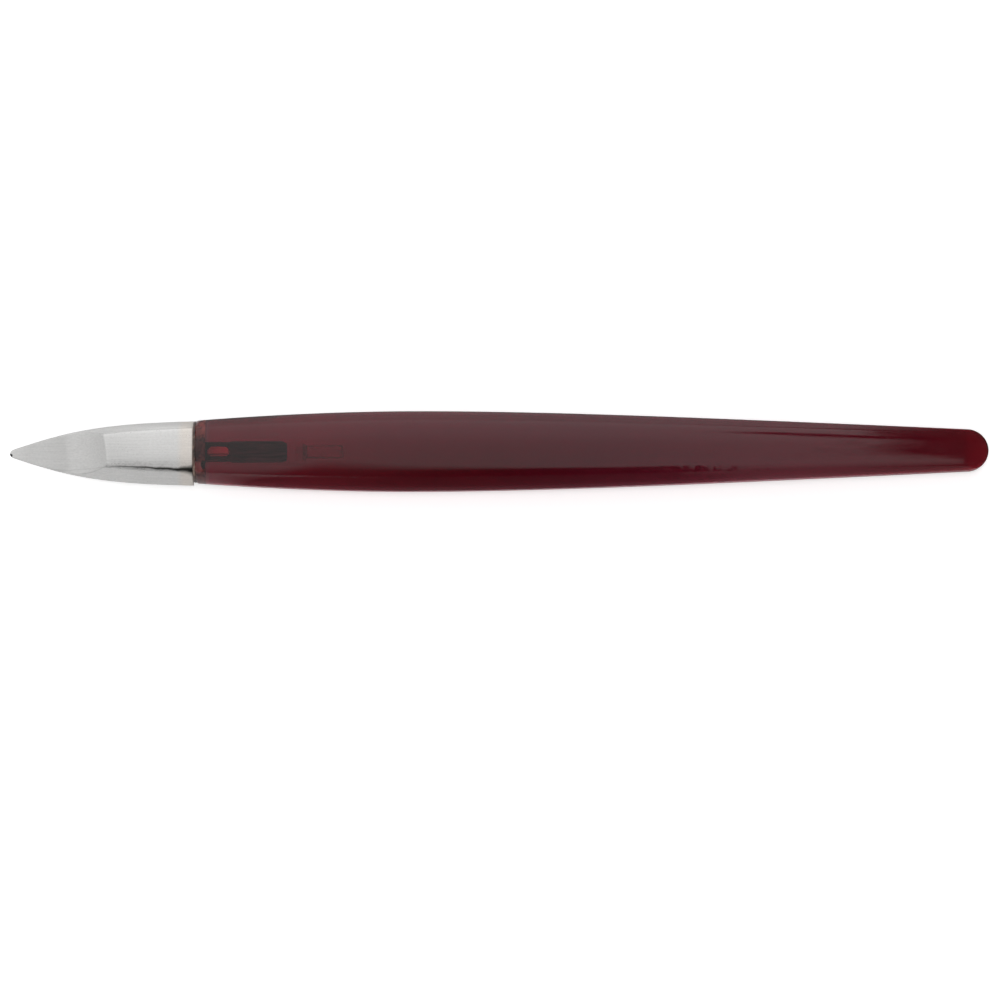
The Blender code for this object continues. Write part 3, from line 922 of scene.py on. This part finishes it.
def make_card(name, corners, height, stops, fade=None, feather=None):
    """A flat card over the floor that only reflections see; stops are (y, level) across it.

    With a fade, the card goes dark between the two places along the tool.  With a feather, it
    goes from clear to solid between them.
    """
    corners = [(x * MM, y * MM, height * MM) for x, y in corners]
    card = add_object(name, mesh_from(name, corners, [tuple(range(len(corners)))]))
    material = bpy.data.materials.new(name)
    nodes = Nodes(material)
    output = nodes.add("ShaderNodeOutputMaterial")
    shader = nodes.add("ShaderNodeEmission")
    coordinates = nodes.add("ShaderNodeTexCoord")
    split = nodes.add("ShaderNodeSeparateXYZ")
    nodes.link(coordinates.outputs["Object"], split.inputs["Vector"])
    low, high = stops[0][0], stops[-1][0]
    share = nodes.spread(split.outputs["Y"], low * MM, high * MM, 0.0, 1.0)
    level = nodes.ramp(share, [((y - low) / (high - low), (value,) * 3) for y, value in stops])
    nodes.link(level, shader.inputs["Color"])
    if fade:
        nodes.link(nodes.spread(split.outputs["X"], fade[0] * MM, fade[1] * MM, 1.0, 0.1),
                   shader.inputs["Strength"])
    surface = shader.outputs["Emission"]
    if feather:
        clear = nodes.add("ShaderNodeBsdfTransparent")
        mix = nodes.add("ShaderNodeMixShader")
        nodes.link(nodes.spread(split.outputs["X"], feather[0] * MM, feather[1] * MM, 0.0, 1.0),
                   mix.inputs[0])
        nodes.link(clear.outputs["BSDF"], mix.inputs[1])
        nodes.link(surface, mix.inputs[2])
        surface = mix.outputs["Shader"]
    nodes.link(surface, output.inputs["Surface"])
    card.data.materials.append(material)
    card.visible_camera = False
    card.visible_diffuse = False
    card.visible_transmission = False
    card.visible_volume_scatter = False
    card.visible_shadow = False


def make_cards():
    """Dim cards on the floor round the grip and past its tail, darker before its belly."""
    far = 1500
    make_card("front_card", [(-47, -8), (90, -8), (400, -far), (-220, -far)], 0.1,
              [(-60, 0.13), (-8, 0.12)], feather=(-47, -39))
    make_card("rear_front_card", [(32, -8), (90, -8), (400, -far), (80, -far)], 0.15,
              [(-60, 0.32), (-8, 0.24)], feather=(32, 42))
    make_card("belly_card", [(-36, -13), (28, -13), (30, -30), (170, -far), (-225, -far),
                             (-38, -30)], 0.2, [(-60, 0.10), (-13, 0.10)], feather=(-37, -15))
    make_card("back_card", [(-46, 8), (90, 8), (400, far), (-400, far)], 0.1,
              [(8, 0.10), (16, 0.35), (40, 0.65), (100, 0.75)], fade=(55, 71))
    make_card("tail_card", [(76, -200), (76, 200), (800, 800), (800, -800)], 0.3,
              [(-1, 0.04), (1, 0.04)])


def make_lamp():
    """A soft lamp over the camera's shoulder, so that the shadow falls behind the tool."""
    light = bpy.data.lights.new("lamp", "AREA")
    light.shape = "DISK"
    light.size = LAMP_WIDTH
    light.energy = LAMP_POWER
    lamp = bpy.data.objects.new("lamp", light)
    lamp.location = LAMP_PLACE
    aim = Vector((0.0, 0.0, 0.0)) - lamp.location
    lamp.rotation_euler = aim.to_track_quat("-Z", "Y").to_euler()
    lamp.visible_glossy = False
    lamp.visible_transmission = False
    bpy.context.scene.collection.objects.link(lamp)


def make_camera():
    camera = bpy.data.cameras.new("camera")
    camera.sensor_width = 36.0
    camera.lens = CAMERA_LENS
    obj = bpy.data.objects.new("camera", camera)
    bpy.context.scene.collection.objects.link(obj)
    elevation = math.radians(CAMERA_ELEVATION)
    back = Vector((0.0, -math.cos(elevation), math.sin(elevation)))
    distance = VIEW_WIDTH * CAMERA_LENS / camera.sensor_width
    turn = (-back).to_track_quat("-Z", "Y").to_matrix().to_4x4()
    roll = Matrix.Rotation(math.radians(CAMERA_ROLL), 4, "Z")
    obj.matrix_world = Matrix.Translation(AIM + back * distance) @ turn @ roll
    camera.clip_start = 0.01
    camera.clip_end = 20.0
    bpy.context.scene.camera = obj


make_grip(make_plastic(), make_cavity_wall(), make_glue_and_gap_shade())
make_nib(make_steel(), make_pink_glue())
make_floor()
make_world()
make_cards()
make_lamp()
make_camera()
bpy.context.scene.view_settings.view_transform = "Standard"
